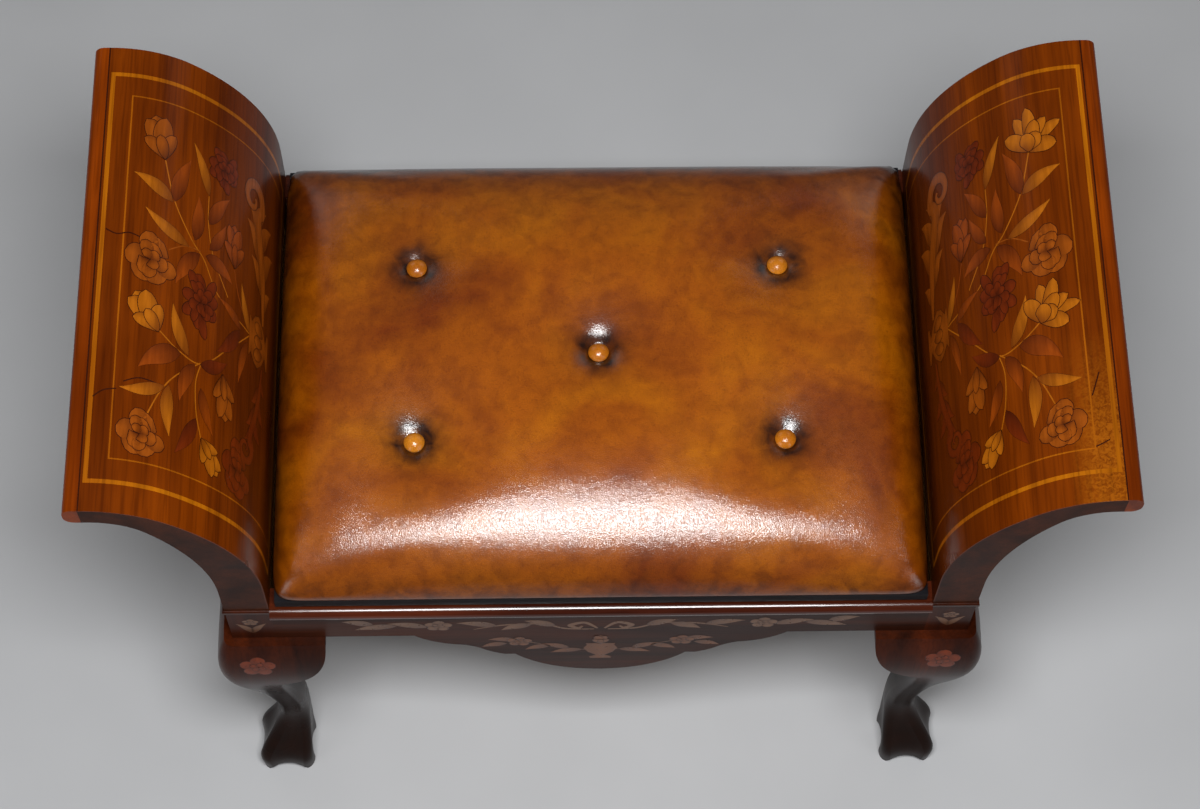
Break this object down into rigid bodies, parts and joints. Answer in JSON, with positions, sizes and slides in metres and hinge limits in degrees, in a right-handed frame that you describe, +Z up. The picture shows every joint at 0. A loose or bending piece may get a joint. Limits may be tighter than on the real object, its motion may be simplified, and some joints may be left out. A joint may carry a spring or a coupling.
{
  "type": "window stool",
  "caption": "Wide window stool with outward-curving marquetry arms, cabriole claw-foot legs and a buttoned leather seat that lifts over a music well.",
  "frame": {"origin": "on the floor, under the middle of the stool", "axes": "+X to the right as seen from the front, -Y to the front, +Z up"},
  "size_m": [0.84, 0.4568, 0.636],
  "materials": {
    "walnut": "french polished",
    "veneer": "french polished marquetry ground",
    "red_walnut": "french polished",
    "boxwood": "french polished inlay",
    "ebonised": "ebonised, polished",
    "pine": "bare",
    "beech": "bare",
    "brass": "aged",
    "felt": "felt",
    "lining": "woven lining cloth",
    "stuffing": "hair stuffing",
    "twine": "waxed twine",
    "leather": "hand-dyed, waxed"
  },
  "bodies": {
    "frame": {"leg_front_left": "walnut", "knee_bracket_front_left_front": "walnut", "knee_bracket_front_left_side": "walnut", "corner_block_front_left": "pine", "leg_front_right": "walnut", "knee_bracket_front_right_front": "walnut", "knee_bracket_front_right_side": "walnut", "corner_block_front_right": "pine", "leg_back_left": "walnut", "knee_bracket_back_left_back": "walnut", "knee_bracket_back_left_side": "walnut", "corner_block_back_left": "pine", "leg_back_right": "walnut", "knee_bracket_back_right_back": "walnut", "knee_bracket_back_right_side": "walnut", "corner_block_back_right": "pine", "rail_front": "walnut", "apron_front": "walnut", "floor_cleat_front": "pine", "top_bead_front": "red_walnut", "rail_back": "walnut", "apron_back": "walnut", "floor_cleat_back": "pine", "top_bead_back": "red_walnut", "rail_left": "walnut", "base_bead_left": "red_walnut", "arm_left": "walnut", "arm_veneer_left": "veneer", "arm_edge_left": "red_walnut", "arm_dowels_left": "beech", "bold_string_left": "boxwood", "fine_string_left": "boxwood", "rail_right": "walnut", "base_bead_right": "red_walnut", "arm_right": "walnut", "arm_veneer_right": "veneer", "arm_edge_right": "red_walnut", "arm_dowels_right": "beech", "bold_string_right": "boxwood", "fine_string_right": "boxwood", "well_floor": "pine", "lid_buffers": "felt", "hinge_frame_leaf_left": "brass", "hinge_pin_left": "brass", "hinge_frame_leaf_right": "brass", "hinge_pin_right": "brass", "hinge_frame_screws": "brass"},
    "lid": {"hinge_lid_leaf_left": "brass", "hinge_lid_leaf_right": "brass", "hinge_lid_screws": "brass", "lid_board": "ebonised", "lid_lining": "lining", "seat_stuffing": "stuffing", "seat_leather": "leather", "seat_buttons": "leather", "button_twines": "twine"}
  },
  "joints": [
    {"name": "lid_hinge", "type": "hinge", "parent": "frame", "child": "lid", "pos_m": [0, 0.211, 0.4176], "axis": [-1, 0, 0], "range_deg": [0, 95]}
  ]
}
